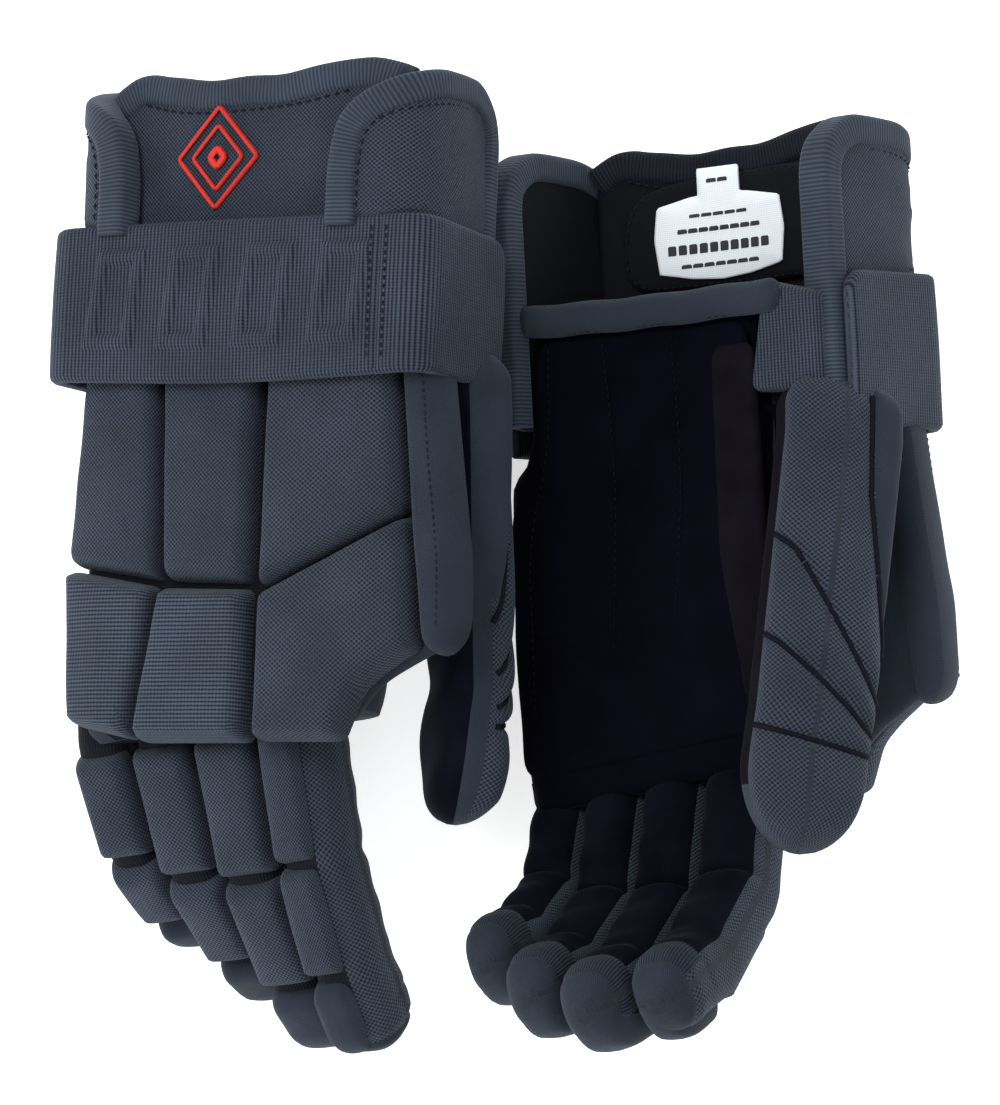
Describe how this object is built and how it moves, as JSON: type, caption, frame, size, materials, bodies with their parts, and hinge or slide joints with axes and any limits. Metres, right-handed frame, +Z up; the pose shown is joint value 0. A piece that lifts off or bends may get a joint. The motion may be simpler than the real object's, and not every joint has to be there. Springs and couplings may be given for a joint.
{
  "type": "hockey gloves",
  "caption": "Pair of padded ball-hockey gloves with rolled finger and back pads, suede palms, flared cuffs and hook-and-loop wrist straps.",
  "frame": {"origin": "on the table under the middle of the pair's bounding box", "axes": "+Z up; +Y towards the cuffs, along the gloves' length; +X from the right glove to the left glove"},
  "size_m": [0.3098, 0.3366, 0.167],
  "materials": {
    "shell_knit": "matte knit",
    "palm_suede": "brushed suede",
    "liner_fabric": "soft lining",
    "binding": "ribbed knit",
    "strap_knit": "fine ribbed knit",
    "label": "woven label",
    "thread": "sewing thread",
    "emblem": "embroidery"
  },
  "bodies": {
    "right_hand": {"right_hand_liner": "liner_fabric", "right_palm": "palm_suede", "right_back_roll_outer": "shell_knit", "right_back_roll_middle": "shell_knit", "right_back_roll_thumb_side": "shell_knit", "right_knuckle_roll_outer": "shell_knit", "right_knuckle_roll_middle": "shell_knit", "right_knuckle_roll_thumb_side": "shell_knit", "right_thumb_side_panel": "shell_knit", "right_cuff_back_flap": "shell_knit", "right_cuff_side_outer": "shell_knit", "right_cuff_side_thumb": "shell_knit", "right_wrist_welt": "binding", "right_label": "label", "right_strap_tab": "strap_knit"},
    "right_strap": {"right_wrist_strap": "strap_knit"},
    "right_pinky_proximal": {"right_pinky_proximal": "shell_knit"},
    "right_pinky_middle": {"right_pinky_middle": "shell_knit"},
    "right_pinky_distal": {"right_pinky_distal": "shell_knit"},
    "right_ring_proximal": {"right_ring_proximal": "shell_knit"},
    "right_ring_middle": {"right_ring_middle": "shell_knit"},
    "right_ring_distal": {"right_ring_distal": "shell_knit"},
    "right_middle_proximal": {"right_middle_proximal": "shell_knit"},
    "right_middle_middle": {"right_middle_middle": "shell_knit"},
    "right_middle_distal": {"right_middle_distal": "shell_knit"},
    "right_index_proximal": {"right_index_proximal": "shell_knit"},
    "right_index_middle": {"right_index_middle": "shell_knit"},
    "right_index_distal": {"right_index_distal": "shell_knit"},
    "right_thumb_base": {"right_thumb_base": "shell_knit"},
    "right_thumb_tip": {"right_thumb_tip": "shell_knit"},
    "left_hand": {"left_hand_liner": "liner_fabric", "left_palm": "palm_suede", "left_back_roll_outer": "shell_knit", "left_back_roll_middle": "shell_knit", "left_back_roll_thumb_side": "shell_knit", "left_knuckle_roll_outer": "shell_knit", "left_knuckle_roll_middle": "shell_knit", "left_knuckle_roll_thumb_side": "shell_knit", "left_thumb_side_panel": "shell_knit", "left_cuff_back_flap": "shell_knit", "left_cuff_side_outer": "shell_knit", "left_cuff_side_thumb": "shell_knit", "left_wrist_welt": "binding", "left_label": "label", "left_strap_tab": "strap_knit"},
    "left_strap": {"left_wrist_strap": "strap_knit"},
    "left_pinky_proximal": {"left_pinky_proximal": "shell_knit"},
    "left_pinky_middle": {"left_pinky_middle": "shell_knit"},
    "left_pinky_distal": {"left_pinky_distal": "shell_knit"},
    "left_ring_proximal": {"left_ring_proximal": "shell_knit"},
    "left_ring_middle": {"left_ring_middle": "shell_knit"},
    "left_ring_distal": {"left_ring_distal": "shell_knit"},
    "left_middle_proximal": {"left_middle_proximal": "shell_knit"},
    "left_middle_middle": {"left_middle_middle": "shell_knit"},
    "left_middle_distal": {"left_middle_distal": "shell_knit"},
    "left_index_proximal": {"left_index_proximal": "shell_knit"},
    "left_index_middle": {"left_index_middle": "shell_knit"},
    "left_index_distal": {"left_index_distal": "shell_knit"},
    "left_thumb_base": {"left_thumb_base": "shell_knit"},
    "left_thumb_tip": {"left_thumb_tip": "shell_knit"}
  },
  "joints": [
    {"name": "right_pinky_knuckle", "type": "hinge", "parent": "right_hand", "child": "right_pinky_proximal", "pos_m": [-0.13448, -0.06424, 0.0581], "axis": [0.8912, 0.1371, 0.4324], "range_deg": [-31, 33], "stiffness_Nm_per_rad": 0.5},
    {"name": "right_pinky_bend", "type": "hinge", "parent": "right_pinky_proximal", "child": "right_pinky_middle", "pos_m": [-0.1245, -0.09971, 0.04879], "axis": [0.8912, 0.1371, 0.4324], "range_deg": [-32, 32], "stiffness_Nm_per_rad": 0.35},
    {"name": "right_pinky_tip_bend", "type": "hinge", "parent": "right_pinky_middle", "child": "right_pinky_distal", "pos_m": [-0.11195, -0.11818, 0.02877], "axis": [0.8912, 0.1371, 0.4324], "range_deg": [-20, 24]},
    {"name": "right_ring_knuckle", "type": "hinge", "parent": "right_hand", "child": "right_ring_proximal", "pos_m": [-0.11349, -0.06101, 0.06828], "axis": [0.8912, 0.1371, 0.4324], "range_deg": [-26, 38], "stiffness_Nm_per_rad": 0.5},
    {"name": "right_ring_bend", "type": "hinge", "parent": "right_ring_proximal", "child": "right_ring_middle", "pos_m": [-0.10295, -0.10511, 0.06054], "axis": [0.8912, 0.1371, 0.4324], "range_deg": [-28, 36], "stiffness_Nm_per_rad": 0.35},
    {"name": "right_ring_tip_bend", "type": "hinge", "parent": "right_ring_middle", "child": "right_ring_distal", "pos_m": [-0.08866, -0.13211, 0.03966], "axis": [0.8912, 0.1371, 0.4324], "range_deg": [-19, 25]},
    {"name": "right_middle_knuckle", "type": "hinge", "parent": "right_hand", "child": "right_middle_proximal", "pos_m": [-0.09139, -0.05761, 0.079], "axis": [0.8912, 0.1371, 0.4324], "range_deg": [-20, 44], "stiffness_Nm_per_rad": 0.5},
    {"name": "right_middle_bend", "type": "hinge", "parent": "right_middle_proximal", "child": "right_middle_middle", "pos_m": [-0.08223, -0.10561, 0.07534], "axis": [0.8912, 0.1371, 0.4324], "range_deg": [-21, 43], "stiffness_Nm_per_rad": 0.35},
    {"name": "right_middle_tip_bend", "type": "hinge", "parent": "right_middle_middle", "child": "right_middle_distal", "pos_m": [-0.069, -0.14093, 0.05928], "axis": [0.8912, 0.1371, 0.4324], "range_deg": [-15, 29]},
    {"name": "right_index_knuckle", "type": "hinge", "parent": "right_hand", "child": "right_index_proximal", "pos_m": [-0.06862, -0.05411, 0.09005], "axis": [0.8912, 0.1371, 0.4324], "range_deg": [-14, 50], "stiffness_Nm_per_rad": 0.5},
    {"name": "right_index_bend", "type": "hinge", "parent": "right_index_proximal", "child": "right_index_middle", "pos_m": [-0.06191, -0.10062, 0.09097], "axis": [0.8912, 0.1371, 0.4324], "range_deg": [-15, 49], "stiffness_Nm_per_rad": 0.35},
    {"name": "right_index_tip_bend", "type": "hinge", "parent": "right_index_middle", "child": "right_index_distal", "pos_m": [-0.05218, -0.13745, 0.08261], "axis": [0.8912, 0.1371, 0.4324], "range_deg": [-11, 33]},
    {"name": "right_thumb_swing", "type": "hinge", "parent": "right_hand", "child": "right_thumb_base", "pos_m": [-0.00873, 0.05037, 0.09501], "axis": [0.8926, 0.0164, 0.4506], "range_deg": [-7, 5], "stiffness_Nm_per_rad": 1.5},
    {"name": "right_thumb_bend", "type": "hinge", "parent": "right_thumb_base", "child": "right_thumb_tip", "pos_m": [-0.00596, -0.04376, 0.08336], "axis": [-0.2623, -0.0158, -0.9649], "range_deg": [-8, 9], "stiffness_Nm_per_rad": 0.5},
    {"name": "right_strap_open", "type": "hinge", "parent": "right_hand", "child": "right_strap", "pos_m": [-0.15183, 0.08675, 0.06527], "axis": [-0.0433, -0.9916, 0.1219], "range_deg": [0, 110]},
    {"name": "left_pinky_knuckle", "type": "hinge", "parent": "left_hand", "child": "left_pinky_proximal", "pos_m": [0.02946, -0.08676, 0.04156], "axis": [-0.7939, -0.1941, -0.5762], "range_deg": [-32, 22], "stiffness_Nm_per_rad": 0.5},
    {"name": "left_pinky_bend", "type": "hinge", "parent": "left_pinky_proximal", "child": "left_pinky_middle", "pos_m": [0.02399, -0.11946, 0.06012], "axis": [-0.7939, -0.1941, -0.5762], "range_deg": [-30, 34], "stiffness_Nm_per_rad": 0.35},
    {"name": "left_pinky_tip_bend", "type": "hinge", "parent": "left_pinky_middle", "child": "left_pinky_distal", "pos_m": [0.01139, -0.13476, 0.08264], "axis": [-0.7939, -0.1941, -0.5762], "range_deg": [-20, 24]},
    {"name": "left_ring_knuckle", "type": "hinge", "parent": "left_hand", "child": "left_ring_proximal", "pos_m": [0.04816, -0.08219, 0.05513], "axis": [-0.7939, -0.1941, -0.5762], "range_deg": [-30, 34], "stiffness_Nm_per_rad": 0.5},
    {"name": "left_ring_bend", "type": "hinge", "parent": "left_ring_proximal", "child": "left_ring_middle", "pos_m": [0.04249, -0.12251, 0.07653], "axis": [-0.7939, -0.1941, -0.5762], "range_deg": [-30, 34], "stiffness_Nm_per_rad": 0.35},
    {"name": "left_ring_tip_bend", "type": "hinge", "parent": "left_ring_middle", "child": "left_ring_distal", "pos_m": [0.02752, -0.14245, 0.10387], "axis": [-0.7939, -0.1941, -0.5762], "range_deg": [-20, 24]},
    {"name": "left_middle_knuckle", "type": "hinge", "parent": "left_hand", "child": "left_middle_proximal", "pos_m": [0.06785, -0.07737, 0.06943], "axis": [-0.7939, -0.1941, -0.5762], "range_deg": [-29, 35], "stiffness_Nm_per_rad": 0.5},
    {"name": "left_middle_bend", "type": "hinge", "parent": "left_middle_proximal", "child": "left_middle_middle", "pos_m": [0.06232, -0.1207, 0.09164], "axis": [-0.7939, -0.1941, -0.5762], "range_deg": [-29, 35], "stiffness_Nm_per_rad": 0.35},
    {"name": "left_middle_tip_bend", "type": "hinge", "parent": "left_middle_middle", "child": "left_middle_distal", "pos_m": [0.04639, -0.14395, 0.12141], "axis": [-0.7939, -0.1941, -0.5762], "range_deg": [-19, 25]},
    {"name": "left_index_knuckle", "type": "hinge", "parent": "left_hand", "child": "left_index_proximal", "pos_m": [0.08813, -0.07242, 0.08415], "axis": [-0.7939, -0.1941, -0.5762], "range_deg": [-28, 36], "stiffness_Nm_per_rad": 0.5},
    {"name": "left_index_bend", "type": "hinge", "parent": "left_index_proximal", "child": "left_index_middle", "pos_m": [0.08332, -0.11431, 0.10489], "axis": [-0.7939, -0.1941, -0.5762], "range_deg": [-27, 37], "stiffness_Nm_per_rad": 0.35},
    {"name": "left_index_tip_bend", "type": "hinge", "parent": "left_index_middle", "child": "left_index_distal", "pos_m": [0.06914, -0.13804, 0.13241], "axis": [-0.7939, -0.1941, -0.5762], "range_deg": [-18, 26]},
    {"name": "left_thumb_swing", "type": "hinge", "parent": "left_hand", "child": "left_thumb_base", "pos_m": [0.12355, 0.03718, 0.11965], "axis": [-0.8063, -0.0731, -0.587], "range_deg": [-16, 14], "stiffness_Nm_per_rad": 1.5},
    {"name": "left_thumb_bend", "type": "hinge", "parent": "left_thumb_base", "child": "left_thumb_tip", "pos_m": [0.1024, -0.04944, 0.15213], "axis": [0.9711, -0.1636, -0.1736], "range_deg": [-10, 7], "stiffness_Nm_per_rad": 0.5},
    {"name": "left_strap_open", "type": "hinge", "parent": "left_hand", "child": "left_strap", "pos_m": [0.03358, 0.05983, 0.00101], "axis": [-0.0523, 0.9973, -0.0523], "range_deg": [0, 110]},
    {"name": "right_glove_lift", "type": "slide", "parent": "left_hand", "child": "right_hand", "axis": [0, 0, 1], "range_m": [0, 0.12]}
  ],
  "couplings": [
    {"joint": "right_pinky_tip_bend", "follows": "right_pinky_bend", "ratio": 0.62},
    {"joint": "right_ring_tip_bend", "follows": "right_ring_bend", "ratio": 0.6736},
    {"joint": "right_middle_tip_bend", "follows": "right_middle_bend", "ratio": 0.6694},
    {"joint": "right_index_tip_bend", "follows": "right_index_bend", "ratio": 0.6685},
    {"joint": "left_pinky_tip_bend", "follows": "left_pinky_bend", "ratio": 0.6617},
    {"joint": "left_ring_tip_bend", "follows": "left_ring_bend", "ratio": 0.6617},
    {"joint": "left_middle_tip_bend", "follows": "left_middle_bend", "ratio": 0.6502},
    {"joint": "left_index_tip_bend", "follows": "left_index_bend", "ratio": 0.6617}
  ]
}
